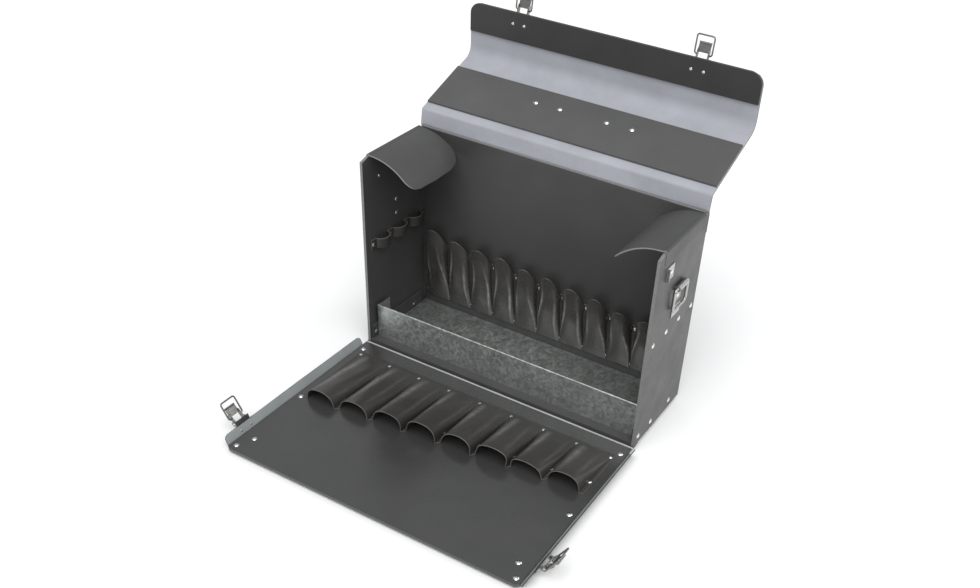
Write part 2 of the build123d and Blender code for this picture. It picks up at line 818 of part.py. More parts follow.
def flap_leaf(start, low, thickness, width, corner):
    """Rounded leaf on the flap, from a start along it to its free edge."""
    plane = Plane(origin=on_lid(flap_profile, (start + flap_length) / 2, low, 0), x_dir=(1, 0, 0),
                  z_dir=flap_profile.y_dir)
    with BuildPart() as piece:
        with BuildSketch(plane) as outline:
            Rectangle(width, flap_length - start)
            fillet(outline.vertices().group_by(Axis.Y)[-1], corner)
        extrude(amount=thickness)
        drill(flap_seats, latch_rivet_head)
    return piece


flap_skin = flap_leaf(lid_bead + fold_gap, -skin / 2, skin, case_width, flap_corner)
save(flap_skin, "flap_skin")
flap_board = flap_leaf(flap_board_start, skin / 2, lid_board, case_width - 2 * lid_board_inset,
                       flap_corner - lid_board_inset)
save(flap_board, "flap_board")

# Draw latches


def latch(name, plane):
    """Plate, pin, lever and bail of one draw latch."""
    across = -plane.y_dir

    def profile(offset, local, turn):
        """Side plane through a local point, turned away from the carrier."""
        x_dir = plane.x_dir * cos(radians(turn)) + plane.z_dir * sin(radians(turn))
        origin = plane.from_local_coords((local[0], offset, local[1]))
        return Plane(origin=origin, x_dir=x_dir, z_dir=across)

    pivot = (0, latch_pin_height)
    with BuildPart() as plate:
        with BuildSketch(profile(0, (0, 0), 0)):
            with Locations(((latch_plate_front - latch_plate_rear) / 2, latch_plate / 2)):
                Rectangle(latch_plate_front + latch_plate_rear, latch_plate)
        extrude(amount=latch_plate_width / 2, both=True)
        for offset in (-latch_ear_offset, latch_ear_offset):
            with BuildSketch(profile(offset, (0, 0), 0)):
                with Locations(pivot):
                    Circle(latch_ear_radius)
                with Locations((0, latch_pin_height / 2)):
                    Rectangle(2 * latch_ear_radius, latch_pin_height)
            extrude(amount=latch_ear / 2, both=True)
        with BuildSketch(profile(0, pivot, 0)):
            Circle(latch_pin + running_gap)
        extrude(amount=latch_plate_width, both=True, mode=Mode.SUBTRACT)
        drill(latch_seats(plane), latch_rivet_head)
    save(plate, f"{name}_plate")

    with BuildPart() as pin:
        with BuildSketch(profile(0, pivot, 0)):
            Circle(latch_pin)
        extrude(amount=latch_pin_length / 2, both=True)
    save(pin, f"{name}_pin")

    cheek_offset = (lever_width - lever_cheek) / 2
    with BuildPart() as lever:
        for offset in (-cheek_offset, cheek_offset):
            with BuildSketch(profile(offset, pivot, lever_angle)):
                with Locations((lever_cheek_length / 2, 0)):
                    SlotCenterToCenter(lever_cheek_length, 2 * lever_cheek_radius)
            extrude(amount=lever_cheek / 2, both=True)
        with BuildSketch(profile(0, pivot, lever_angle)):
            with Locations(((lever_web_start + lever_length) / 2, 0)):
                Rectangle(lever_length - lever_web_start, lever_web)
            with Locations((lever_length, 0)):
                Circle(lever_lip)
        extrude(amount=lever_width / 2, both=True)
        with BuildSketch(profile(0, pivot, lever_angle)):
            Circle(latch_pin + running_gap)
            with Locations((bail_pivot, 0)):
                Circle(bail_wire + running_gap)
        extrude(amount=lever_width, both=True, mode=Mode.SUBTRACT)
    save(lever, f"{name}_lever")

    bail_x = plane.x_dir * cos(radians(bail_angle)) + plane.z_dir * sin(radians(bail_angle))
    bail_z = plane.z_dir * cos(radians(bail_angle)) - plane.x_dir * sin(radians(bail_angle))
    bail_origin = plane.from_local_coords((bail_pivot * cos(radians(lever_angle)), 0,
                                           latch_pin_height + bail_pivot * sin(radians(lever_angle))))
    bail_plane = Plane(origin=bail_origin, x_dir=bail_x, z_dir=bail_z)
    bail_points = [(0, bail_inner), (0, bail_half_width), (bail_length, bail_half_width),
                   (bail_length, -bail_half_width), (0, -bail_half_width), (0, -bail_inner)]
    with BuildPart() as bail:
        add(wire_form(bail_plane, bail_points, bail_bend, bail_wire))
    save(bail, f"{name}_bail")


for hand, side_plane, lid_plane in zip(("right", "left"), side_latch_planes, lid_latch_planes):
    latch(f"{hand}_side_latch", side_plane)
    latch(f"{hand}_lid_latch", lid_plane)
    rivet_group(f"{hand}_side_latch_rivets", latch_seats(side_plane), latch_plate + flange_thickness,
                latch_rivet_head)
rivet_group("lid_latch_rivets", flap_seats, latch_plate + skin + lid_board, latch_rivet_head)

# Carrying handle on the outside of the lid; the bow hangs straight down
handle_planes = [seat(on_lid(lid_profile, handle_along, -skin / 2, side * handle_side),
                      lid_out, (1, 0, 0)) for side in (1, -1)]
with BuildPart() as handle_brackets:
    for plane in handle_planes:
        with BuildSketch(plane):
            RectangleRounded(handle_plate_length, handle_plate_width, handle_lug_radius)
        extrude(amount=handle_plate)
        for offset in (-handle_lug_offset, handle_lug_offset):
            lug_plane = Plane(origin=plane.from_local_coords((offset, 0, 0)), x_dir=plane.y_dir,
                              z_dir=plane.x_dir)
            with BuildSketch(lug_plane):
                with Locations((0, handle_pin_height)):
                    Circle(handle_lug_radius)
                with Locations((0, handle_pin_height / 2)):
                    Rectangle(2 * handle_lug_radius, handle_pin_height)
            extrude(amount=handle_lug / 2, both=True)
    for plane in handle_planes:
        with Locations(Location(plane.from_local_coords((0, 0, handle_pin_height)), (0, 90, 0))):
            Cylinder(handle_pin + running_gap, handle_plate_length, mode=Mode.SUBTRACT)
    drill(handle_seats, handle_rivet_head)
save(handle_brackets, "handle_brackets")
rivet_group("handle_rivets", handle_seats, handle_plate + skin + lid_board, handle_rivet_head)

pin_length = 2 * handle_lug_offset + handle_lug
with BuildPart() as handle_pins:
    for plane in handle_planes:
        with Locations(Location(plane.from_local_coords((0, 0, handle_pin_height)), (0, 90, 0))):
            Cylinder(handle_pin, pin_length)
save(handle_pins, "handle_pins")

bow_origin = lid_profile.from_local_coords((handle_along, -skin / 2 - handle_pin_height, 0))
bow_plane = Plane(origin=bow_origin, x_dir=(1, 0, 0), z_dir=(0, -1, 0))
bow_start = (handle_eye_radius + handle_pin) / 2
bow_points = [(handle_side, -bow_start), (handle_side, -handle_drop), (-handle_side, -handle_drop),
              (-handle_side, -bow_start)]
bow_wire = wire_form(bow_plane, bow_points, handle_bend, handle_bow)
with BuildPart() as handle_bow_piece:
    add(bow_wire)
    for side in (1, -1):
        with Locations(Location(bow_plane.from_local_coords((side * handle_side, 0, 0)), (0, 90, 0))):
            Cylinder(handle_eye_radius, handle_eye)
    for side in (1, -1):
        with Locations(Location(bow_plane.from_local_coords((side * handle_side, 0, 0)), (0, 90, 0))):
            Cylinder(handle_pin + running_gap, handle_plate_length, mode=Mode.SUBTRACT)
save(handle_bow_piece, "handle_bow")

with BuildPart() as handle_grip:
    with Locations(Location(bow_plane.from_local_coords((0, -handle_drop, 0)), (0, 90, 0))):
        Cylinder(handle_sleeve, handle_sleeve_length)
        fillet(handle_grip.edges(), handle_sleeve / 2)
        Cylinder(handle_bow + running_gap, handle_sleeve_length + overrun, mode=Mode.SUBTRACT)
save(handle_grip, "handle_grip")
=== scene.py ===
"""Looks of the open leatherboard tool case: soft leather pieces, finishes, light and camera."""

import json
import math

import bpy
import numpy as np
from mathutils import Matrix, Vector


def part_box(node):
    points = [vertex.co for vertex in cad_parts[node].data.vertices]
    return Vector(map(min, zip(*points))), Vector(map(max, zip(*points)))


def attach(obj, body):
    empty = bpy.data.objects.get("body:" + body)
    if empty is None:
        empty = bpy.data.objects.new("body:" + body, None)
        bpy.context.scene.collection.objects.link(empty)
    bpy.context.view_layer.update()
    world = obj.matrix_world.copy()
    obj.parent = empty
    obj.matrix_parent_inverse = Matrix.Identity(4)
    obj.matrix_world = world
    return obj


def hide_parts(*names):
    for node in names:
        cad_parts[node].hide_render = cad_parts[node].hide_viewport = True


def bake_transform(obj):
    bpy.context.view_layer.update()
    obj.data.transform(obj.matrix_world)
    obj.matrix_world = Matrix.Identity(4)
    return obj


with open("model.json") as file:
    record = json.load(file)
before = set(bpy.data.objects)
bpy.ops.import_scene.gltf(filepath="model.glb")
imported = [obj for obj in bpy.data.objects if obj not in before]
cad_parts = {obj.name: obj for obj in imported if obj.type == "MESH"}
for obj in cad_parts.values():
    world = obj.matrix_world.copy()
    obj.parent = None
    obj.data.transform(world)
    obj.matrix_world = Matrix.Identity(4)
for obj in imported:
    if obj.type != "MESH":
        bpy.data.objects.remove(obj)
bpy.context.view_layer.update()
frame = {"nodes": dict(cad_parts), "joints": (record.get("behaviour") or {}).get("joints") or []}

MM = 0.001
SIDES = ((1, "right"), (-1, "left"))
PAINTED_HIGHLIGHT = "rubbed"
nodes = frame["nodes"]
joint_at = {joint["name"]: np.array(joint["pos_m"]) for joint in frame["joints"]}
rng = np.random.default_rng(7)


def low(node):
    """Lowest corner of a CAD node."""
    return np.array(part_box(node)[0])


def high(node):
    """Highest corner of a CAD node."""
    return np.array(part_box(node)[1])


# Places read from the frame; the lid's folds are points of its profile, as y and z
outer_x = high("right_side_panel")[0]
inner_x = low("right_side_panel")[0]
back_y = high("right_side_panel")[1]
wall_y = low("back_panel")[1]
panel_top = high("front_panel")[2]
hinge = joint_at["front_swing"]
fold_back = joint_at["lid_swing"][1:]
fold_lid = joint_at["lid_fold"][1:]
fold_flap = joint_at["flap_fold"][1:]


# Materials
MIX_INPUTS, MIX_OUTPUT = (0, 6, 7), 2  # Factor, colour and result sockets of a mix node
BOARD_GRAIN = 1100.0  # Per metre, as every texture scale is
FINE = 0.0001  # Depth of fine grain


def material(name):
    """New node material: itself, its tree, its shader and a coordinate node."""
    made = bpy.data.materials.new(name)
    made.use_nodes = True
    tree = made.node_tree
    shader = tree.nodes["Principled BSDF"]
    coords = tree.nodes.new("ShaderNodeTexCoord")
    return made, tree, shader, coords


def dimmed(colour, share):
    """Colour at a share of its brightness."""
    return tuple(share * c for c in colour)


def noise(tree, coords, scale, detail=4.0, rough=0.55):
    """Noise texture in object space."""
    node = tree.nodes.new("ShaderNodeTexNoise")
    node.inputs["Scale"].default_value = scale
    node.inputs["Detail"].default_value = detail
    node.inputs["Roughness"].default_value = rough
    tree.links.new(coords.outputs["Object"], node.inputs["Vector"])
    return node.outputs["Fac"]


def ramp(tree, value, stops):
    """Colour ramp of (position, grey or colour) stops."""
    node = tree.nodes.new("ShaderNodeValToRGB")
    elements = node.color_ramp.elements
    while len(elements) < len(stops):
        elements.new(0.5)
    for element, (place, colour) in zip(elements, stops):
        element.position = place
        tone = (colour, colour, colour) if isinstance(colour, float) else colour
        element.color = (*tone, 1.0)
    tree.links.new(value, node.inputs["Fac"])
    return node.outputs["Color"]


def mix(tree, factor, a, b, blend="MIX"):
    """Colour mix; a and b are sockets or colours, factor a socket or number."""
    node = tree.nodes.new("ShaderNodeMix")
    node.data_type = "RGBA"
    node.blend_type = blend
    for number, value in zip(MIX_INPUTS, (factor, a, b)):
        socket = node.inputs[number]
        if isinstance(value, bpy.types.NodeSocket):
            tree.links.new(value, socket)
        elif isinstance(value, (int, float)):
            socket.default_value = value
        else:
            socket.default_value = (*value, 1.0)
    return node.outputs[MIX_OUTPUT]


def bump(tree, shader, heights):
    """Chain of bumps from (height socket, strength, distance) entries."""
    last = None
    for height, strength, distance in heights:
        node = tree.nodes.new("ShaderNodeBump")
        node.inputs["Strength"].default_value = strength
        node.inputs["Distance"].default_value = distance
        tree.links.new(height, node.inputs["Height"])
        if last is not None:
            tree.links.new(last, node.inputs["Normal"])
        last = node.outputs["Normal"]
    tree.links.new(last, shader.inputs["Normal"])


def leather_nodes(name, dark, light, rough, grain, grain_depth, crease=0.0, sheen=0.3, rubbed=None):
    """Leather or leatherboard: mottled tone, fine grain and soft creases, and paler streaks where a highlight
    is painted on.
    """
    mottle_scale, gloss_scale, crease_scale, highlight_patch_scale = 14.0, 30.0, 70.0, 120.0
    gloss_spread = 0.06
    made, tree, shader, coords = material(name)
    mottle = noise(tree, coords, mottle_scale, 5.0, 0.6)
    tone = ramp(tree, mottle, [(0.3, dark), (0.7, light)])
    fine = noise(tree, coords, grain, 3.0, 0.6)
    tone = mix(tree, 0.25, tone, ramp(tree, fine, [(0.3, 0.75), (0.7, 1.0)]), "MULTIPLY")
    # Painted highlight: paler leather where the mesh's highlight attribute is high, broken up by noise
    if rubbed is not None:
        highlight_amount = tree.nodes.new("ShaderNodeAttribute")
        highlight_amount.attribute_name = PAINTED_HIGHLIGHT
        patchy = ramp(tree, noise(tree, coords, highlight_patch_scale, 3.0), [(0.3, 0.45), (0.65, 1.0)])
        amount = tree.nodes.new("ShaderNodeMath")
        amount.operation = "MULTIPLY"
        tree.links.new(highlight_amount.outputs["Fac"], amount.inputs[0])
        tree.links.new(patchy, amount.inputs[1])
        tone = mix(tree, amount.outputs[0], tone, rubbed)
    tree.links.new(tone, shader.inputs["Base Color"])
    gloss = ramp(tree, noise(tree, coords, gloss_scale),
                 [(0.3, rough - gloss_spread), (0.7, rough + gloss_spread)])
    tree.links.new(gloss, shader.inputs["Roughness"])
    shader.inputs["Specular IOR Level"].default_value = sheen
    heights = [(fine, 0.35, grain_depth)]
    if crease:
        heights.append((noise(tree, coords, crease_scale, 4.0, 0.6), 0.5, crease))
    bump(tree, shader, heights)
    return made, tree, shader, coords, tone


def leather(*places, **named):
    """Leather material alone, without its nodes."""
    return leather_nodes(*places, **named)[0]


def board(name, dark, light, edge, axis, rough=0.42, sheen=0.5):
    """Leatherboard whose cut edges, the faces off its axis, have a tone of their own."""
    fibre_scale = 400.0
    made, tree, shader, coords, tone = leather_nodes(name, dark, light, rough, BOARD_GRAIN, FINE,
                                                     sheen=sheen)
    facing = tree.nodes.new("ShaderNodeVectorMath")
    facing.operation = "DOT_PRODUCT"
    facing.inputs[1].default_value = axis
    tree.links.new(coords.outputs["Normal"], facing.inputs[0])
    size = tree.nodes.new("ShaderNodeMath")
    size.operation = "ABSOLUTE"
    tree.links.new(facing.outputs["Value"], size.inputs[0])
    fibre = ramp(tree, noise(tree, coords, fibre_scale), [(0.35, dimmed(edge, 0.8)), (0.7, edge)])
    is_face = ramp(tree, size.outputs[0], [(0.6, 0.0), (0.75, 1.0)])
    tree.links.new(mix(tree, is_face, fibre, tone), shader.inputs["Base Color"])
    return made


def backing(name, tone):
    """Light woven backing of the coated skins."""
    cloud_scale, thread_scale, waver = 22.0, 260.0, 1.2
    made, tree, shader, coords = material(name)
    cloud = noise(tree, coords, cloud_scale, 5.0, 0.6)
    base = ramp(tree, cloud, [(0.3, dimmed(tone, 0.86)), (0.7, tone)])
    weave = []
    for turn in (0.0, math.pi / 2):
        place = tree.nodes.new("ShaderNodeMapping")
        place.inputs["Rotation"].default_value = (turn, turn, turn)
        tree.links.new(coords.outputs["Object"], place.inputs["Vector"])
        wave = tree.nodes.new("ShaderNodeTexWave")
        wave.inputs["Scale"].default_value = thread_scale
        wave.inputs["Distortion"].default_value = waver
        tree.links.new(place.outputs["Vector"], wave.inputs["Vector"])
        weave.append(wave.outputs["Fac"])
    threads = mix(tree, 0.5, weave[0], weave[1])
    tree.links.new(mix(tree, 0.12, base, threads, "MULTIPLY"), shader.inputs["Base Color"])
    shader.inputs["Roughness"].default_value = 0.8
    shader.inputs["Specular IOR Level"].default_value = 0.15
    bump(tree, shader, [(threads, 0.25, FINE)])
    return made


def metal(name, tone, rough, scratch):
    """Plated metal with faint scratches and clouding."""
    cloud_scale, scratch_scale, dent_scale, dent_depth = 90.0, 500.0, 700.0, 0.00005
    made, tree, shader, coords = material(name)
    cloud = noise(tree, coords, cloud_scale, 5.0)
    tree.links.new(ramp(tree, cloud, [(0.3, dimmed(tone, 0.85)), (0.7, tone)]),
                   shader.inputs["Base Color"])
    gloss = ramp(tree, noise(tree, coords, scratch_scale), [(0.3, rough), (0.75, rough + scratch)])
    tree.links.new(gloss, shader.inputs["Roughness"])
    shader.inputs["Metallic"].default_value = 1.0
    bump(tree, shader, [(noise(tree, coords, dent_scale), 0.08, dent_depth)])
    return made


def galvanised(name):
    """Zinc sheet with crystal spangle."""
    spangle_scale, spangle_depth, cloud_scale = 260.0, 0.00006, 45.0
    made, tree, shader, coords = material(name)
    spangle = tree.nodes.new("ShaderNodeTexVoronoi")
    spangle.inputs["Scale"].default_value = spangle_scale
    tree.links.new(coords.outputs["Object"], spangle.inputs["Vector"])
    shade = tree.nodes.new("ShaderNodeRGBToBW")
    tree.links.new(spangle.outputs["Color"], shade.inputs["Color"])
    tone = ramp(tree, shade.outputs["Val"],
                [(0.15, (0.46, 0.485, 0.47)), (0.5, (0.56, 0.59, 0.57)), (0.85, (0.66, 0.69, 0.67))])
    cloud = ramp(tree, noise(tree, coords, cloud_scale, 5.0), [(0.3, 0.75), (0.7, 1.0)])
    tree.links.new(mix(tree, 0.8, tone, cloud, "MULTIPLY"), shader.inputs["Base Color"])
    gloss = ramp(tree, shade.outputs["Val"], [(0.2, 0.30), (0.8, 0.42)])
    tree.links.new(gloss, shader.inputs["Roughness"])
    shader.inputs["Metallic"].default_value = 0.85
    bump(tree, shader, [(shade.outputs["Val"], 0.12, spangle_depth)])
    return made


# Finishes: leathers have a dark and a light tone, boards also their edges' tone and the way they face
facing_x, facing_y, facing_z = (1.0, 0.0, 0.0), (0.0, 1.0, 0.0), (0.0, 0.0, 1.0)
lid_lean = math.radians(19.5)
facing_lid = (0.0, -math.sin(lid_lean), math.cos(lid_lean))
pale_edge = (0.22, 0.22, 0.215)
board_side = board("board_side", (0.056, 0.0555, 0.0545), (0.065, 0.0645, 0.0635),
                   pale_edge, facing_x)
# board_back is darker than board_side: painted shade on the back wall deep inside the case
board_back = board("board_back", (0.046, 0.0455, 0.0445), (0.054, 0.0535, 0.0525),
                   pale_edge, facing_y)
board_flat = board("board_flat", (0.04, 0.04, 0.0393), (0.047, 0.047, 0.0463),
                   (0.04, 0.04, 0.04), facing_z, rough=0.24, sheen=1.0)
board_plain = leather("board_plain", (0.055, 0.055, 0.054), (0.066, 0.066, 0.065),
                      0.5, BOARD_GRAIN, FINE)
# board_lid is paler and board_flap darker than the other boards of the same leatherboard: painted light on
# the lid and painted shade on the flap, which faces away from the light
board_lid = board("board_lid", (0.08, 0.08, 0.079), (0.092, 0.092, 0.091),
                  (0.1, 0.1, 0.1), facing_lid, rough=0.5)
board_flap = board("board_flap", (0.021, 0.021, 0.02), (0.026, 0.026, 0.025),
                   (0.06, 0.06, 0.06), facing_y, rough=0.5)
ear_leather = leather("ear_leather", (0.068, 0.068, 0.067), (0.08, 0.08, 0.079),
                      0.45, 1000.0, FINE, crease=0.0001)
# ear_edge is a pale cut edge of the leather with a painted highlight on it, for the bright line along the
# ears' free edges
ear_edge = leather("ear_edge", (0.2, 0.2, 0.19), (0.27, 0.27, 0.26), 0.6, 700.0, FINE)
# The last colour of each pocket leather is a painted highlight, laid on as pale streaks along the pockets'
# folds and flanks
pocket_leather = leather("pocket_leather", (0.035, 0.033, 0.031), (0.05, 0.047, 0.044),
                         0.36, 900.0, FINE, crease=0.0003, sheen=0.5, rubbed=(0.26, 0.255, 0.245))
# pocket_shine's own tones are also paler than pocket_leather's: partly painted light for the back pockets'
# brighter look
pocket_shine = leather("pocket_shine", (0.045, 0.042, 0.039), (0.06, 0.056, 0.052),
                       0.28, 900.0, 0.00006, crease=0.0003, sheen=0.6, rubbed=(0.4, 0.39, 0.37))
pocket_inside = leather("pocket_inside", (0.03, 0.028, 0.026), (0.04, 0.037, 0.035), 0.7, 700.0, FINE)
pocket_edge = leather("pocket_edge", (0.09, 0.087, 0.084), (0.15, 0.146, 0.14), 0.55, 700.0, FINE)
coat = leather("coat", (0.02, 0.02, 0.021), (0.03, 0.03, 0.031),
               0.42, 800.0, 0.00015, crease=0.0002, sheen=0.45)
coat_edge = leather("coat_edge", (0.03, 0.03, 0.03), (0.05, 0.05, 0.05), 0.5, 700.0, FINE)
light_backing = backing("light_backing", (0.42, 0.43, 0.47))
flange_backing = backing("flange_backing", (0.36, 0.385, 0.39))
welt_leather = leather("welt_leather", (0.36, 0.36, 0.35), (0.46, 0.46, 0.45),
                       0.45, 700.0, FINE, crease=0.0002)
grip_leather = leather("grip_leather", (0.02, 0.02, 0.02), (0.035, 0.034, 0.033),
                       0.38, 700.0, 0.00015, crease=0.0002)
sole_board = leather("sole_board", (0.03, 0.03, 0.03), (0.05, 0.05, 0.05), 0.75, 500.0, 0.0002)
zinc = galvanised("zinc")
nickel = metal("nickel", (0.5, 0.5, 0.485), 0.22, 0.2)
latch_steel = metal("latch_steel", (0.26, 0.26, 0.245), 0.3, 0.2)
rivet_nickel = metal("rivet_nickel", (0.86, 0.86, 0.85), 0.12, 0.12)

own_finishes = {
    "base_tray": zinc,
    "base_sole": sole_board,
    "base_panel": board_plain,
    "back_panel": board_back,
    "left_side_panel": board_side,
    "right_side_panel": board_side,
    "lid_top_board": board_lid,
    "flap_board": board_flap,
    "handle_pins": rivet_nickel,
    "handle_brackets": nickel,
    "handle_bow": nickel,
}


def finish_of(node):
    """Material of a CAD node; soft nodes are replaced further down, so theirs is never seen."""
    if node in own_finishes:
        return own_finishes[node]
    if node.endswith(("rivets", "_pin")):
        return rivet_nickel
    if "latch" in node:
        return latch_steel
    if "keeper" in node or "strap" in node:
        return nickel
    return board_flat


for name, node in nodes.items():
    node.data.materials.clear()
    node.data.materials.append(finish_of(name))


# Meshes: sheets of leather as closed shells round a grid of points, and tubes
def unit(vectors):
    """Rows of vectors at length 1."""
    return vectors / np.linalg.norm(vectors, axis=1, keepdims=True)


def mesh_object(name, points, faces, finishes, side=None):
    """Smooth mesh object with sharp edges kept where it turns a corner."""
    sharp_from = math.radians(38)
    mesh = bpy.data.meshes.new(name)
    mesh.from_pydata([tuple(p) for p in points], [], [tuple(int(i) for i in face) for face in faces])
    for finish in finishes:
        mesh.materials.append(finish)
    if side is not None:
        mesh.polygons.foreach_set("material_index", side)
    mesh.polygons.foreach_set("use_smooth", [True] * len(mesh.polygons))
    mesh.update()
    mesh.set_sharp_from_angle(angle=sharp_from)
    made = bpy.data.objects.new(name, mesh)
    bpy.context.scene.collection.objects.link(made)
    return made


def shell(name, grid, thickness, finishes, rubbed=None):
    """Closed sheet round a grid of middle points; finishes are those of its right side, left side and rim."""
    right_side, left_side, rim_side = range(3)
    rim_out, tiny = 0.7, 1e-12
    grid = np.asarray(grid, float)
    rows, columns = grid.shape[:2]
    count = rows * columns
    along = np.gradient(grid, axis=0)
    across = np.gradient(grid, axis=1)
    normal = np.cross(along, across)
    normal /= np.maximum(np.linalg.norm(normal, axis=2, keepdims=True), tiny)
    half = np.broadcast_to(np.asarray(thickness, float), (rows, columns))[..., None] / 2
    top, under = grid + normal * half, grid - normal * half
    index = np.arange(count).reshape(rows, columns)
    loop = np.concatenate([index[0, :-1], index[:-1, -1], index[-1, :0:-1], index[:0:-1, 0]])
    away = np.zeros_like(grid)
    away[0] -= unit(along[0])
    away[-1] += unit(along[-1])
    away[:, 0] -= unit(across[:, 0])
    away[:, -1] += unit(across[:, -1])
    rim = (grid + rim_out * away * half).reshape(-1, 3)[loop]
    points = np.concatenate([top.reshape(-1, 3), under.reshape(-1, 3), rim])
    corners = (index[:-1, :-1], index[1:, :-1], index[1:, 1:], index[:-1, 1:])
    a, b, c, d = (corner.ravel() for corner in corners)
    faces = [*zip(a, b, c, d), *zip(d + count, c + count, b + count, a + count)]
    side = [right_side] * len(a) + [left_side] * len(a)
    size = len(loop)
    for step in range(size):
        p, q = loop[step], loop[(step + 1) % size]
        r, s = 2 * count + step, 2 * count + (step + 1) % size
        faces += [(p, q, s, r), (r, s, q + count, p + count)]
        side += [rim_side, rim_side]
    made = mesh_object(name, points, faces, finishes, side)
    # Painted highlight: how much paler the leather is painted at each point, for the material to read
    if rubbed is not None:
        highlight_amount = np.broadcast_to(rubbed, (rows, columns)).ravel()
        values = np.concatenate([highlight_amount, highlight_amount, highlight_amount[loop]])
        made.data.attributes.new(PAINTED_HIGHLIGHT, "FLOAT", "POINT").data.foreach_set("value", values)
    return made


def tube(name, rings, finish):
    """Closed tube through rings of points, capped at both ends."""
    rings = np.asarray(rings, float)
    rows, count = rings.shape[:2]
    faces = []
    for row in range(rows - 1):
        here, there = row * count, (row + 1) * count
        for step in range(count):
            other = (step + 1) % count
            faces.append((here + step, here + other, there + other, there + step))
    faces.append(tuple(range(count)))
    faces.append(tuple(reversed(range((rows - 1) * count, rows * count))))
    return mesh_object(name, rings.reshape(-1, 3), faces, (finish,))


def handed(grid, side):
    """Grid with its columns turned round for the left, so that its right side stays the same side."""
    return grid if side > 0 else grid[:, ::-1]


def ease(value):
    """Smooth step from 0 to 1."""
    value = np.clip(value, 0.0, 1.0)
    return value * value * (3 - 2 * value)


def hump(value, width):
    """Bell curve of height 1 round 0."""
    return np.exp(-(value / width) ** 2)


def ripple(x, y, seed, size, depth):
    """Gentle unevenness of leather: a few waves of about that size and depth."""
    wave_count = 6
    waves = np.random.default_rng(seed)
    total = np.zeros(np.broadcast(x, y).shape)
    for _ in range(wave_count):
        turn, phase = waves.uniform(0, math.tau, 2)
        length = size * waves.uniform(0.6, 1.6)
        total += np.sin(math.tau * (x * math.cos(turn) + y * math.sin(turn)) / length + phase)
    return total * depth / wave_count


def run_along(points):
    """Length of a path up to each of its points."""
    return np.concatenate([[0], np.cumsum(np.linalg.norm(np.diff(points, axis=0), axis=1))])


def corner_cut(left, radius):
    """How far a rounded corner takes in a sheet's side, where left is the way to the sheet's end."""
    return np.where(left < radius, radius - np.sqrt(np.maximum(radius**2 - (radius - left)**2, 0)), 0)


def rounded_path(points, radii, step):
    """Points about a step apart along a polyline with rounded corners, and the length up to each."""
    bend_steps, fewest_steps = 14, 4  # Steps per radian of a corner, and the fewest in one
    points = [np.asarray(p, float) for p in points]
    path = [points[0]]
    for before, corner, after, radius in zip(points, points[1:], points[2:], radii):
        into, out = corner - before, after - corner
        into, out = into / np.linalg.norm(into), out / np.linalg.norm(out)
        turn = math.acos(np.clip(into @ out, -1, 1))
        cut = radius * math.tan(turn / 2)
        start, end = corner - into * cut, corner + out * cut
        for share in np.linspace(0, 1, max(fewest_steps, int(turn * bend_steps))):
            first, second = start + (corner - start) * share, corner + (end - corner) * share
            path.append(first + (second - first) * share)
    path.append(points[-1])
    path = np.array(path)
    run = run_along(path)
    places = np.linspace(0, run[-1], max(2, int(run[-1] / step) + 1))
    places = np.unique(np.concatenate([places, run]))
    return np.stack([np.interp(places, run, path[:, k]) for k in (0, 1)], axis=1), places


# Lid: one skin over three folds, cut where each fold's stretch ends
def leaf_way(start, end):
    """Unit direction from one fold to the next."""
    way = end - start
    return way / np.linalg.norm(way)


rear_way = leaf_way(fold_back, fold_lid)
lid_way = leaf_way(fold_lid, fold_flap)
flap_turn = math.radians(90.5)
flap_way = np.array([math.cos(flap_turn), math.sin(flap_turn)])
flap_length = (high("flap_skin")[2] - fold_flap[1]) / flap_way[1]
flap_end = fold_flap + flap_way * flap_length
skin = 1.2 * MM
hem_y = back_y + skin / 2
hem_foot, hem_top = fold_back[1] - 26 * MM, fold_back[1] - 1.5 * MM
rear_start = fold_back + rear_way * 4 * MM
tight_bend, flap_bend, lid_step = 4 * MM, 20 * MM, 3 * MM
lid_path, lid_run = rounded_path(
    [(hem_y, hem_foot), (hem_y, hem_top), rear_start, fold_lid, fold_flap, flap_end],
    [tight_bend, tight_bend, tight_bend, flap_bend], lid_step)
flap_corner = 16 * MM
lid_cut = corner_cut(lid_run[-1] - lid_run, flap_corner)
lid_spread = np.concatenate([[-1.0], np.linspace(-0.985, 0.985, 61), [1.0]])


def lid_part(name, first, last):
    """Stretch of the lid skin between two path indices."""
    wave_seed, wave_size, wave_depth = 11, 0.16, 0.35 * MM
    rows = slice(first, last + 1)
    x = lid_spread[None, :] * (outer_x - lid_cut[rows])[:, None]
    wave = ripple(x, lid_run[rows][:, None], wave_seed, wave_size, wave_depth)
    turn = unit(np.gradient(lid_path, axis=0)[rows])
    y = lid_path[rows, 0][:, None] - wave * turn[:, 1][:, None]
    z = lid_path[rows, 1][:, None] + wave * turn[:, 0][:, None]
    return shell(name, np.stack([x, y, z], axis=2), skin, (coat, light_backing, coat_edge))


def path_index(point):
    """Index of the path point nearest to a point."""
    return int(np.argmin(np.linalg.norm(lid_path - point, axis=1)))


rear_seam_run, lid_seam_run = 13 * MM, 40 * MM  # From the fold before each seam
rear_seam = path_index(fold_back + rear_way * rear_seam_run)
lid_seam = path_index(fold_lid + lid_way * lid_seam_run)
rear_skin = lid_part("lid_rear_skin", 0, rear_seam)
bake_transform(rear_skin)
middle_skin = lid_part("lid_middle_skin", rear_seam, lid_seam)
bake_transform(middle_skin)
flap_skin = lid_part("lid_flap_skin", lid_seam, len(lid_path) - 1)
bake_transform(flap_skin)
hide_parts("lid_rear_band")
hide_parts("lid_skin")
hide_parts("flap_skin")


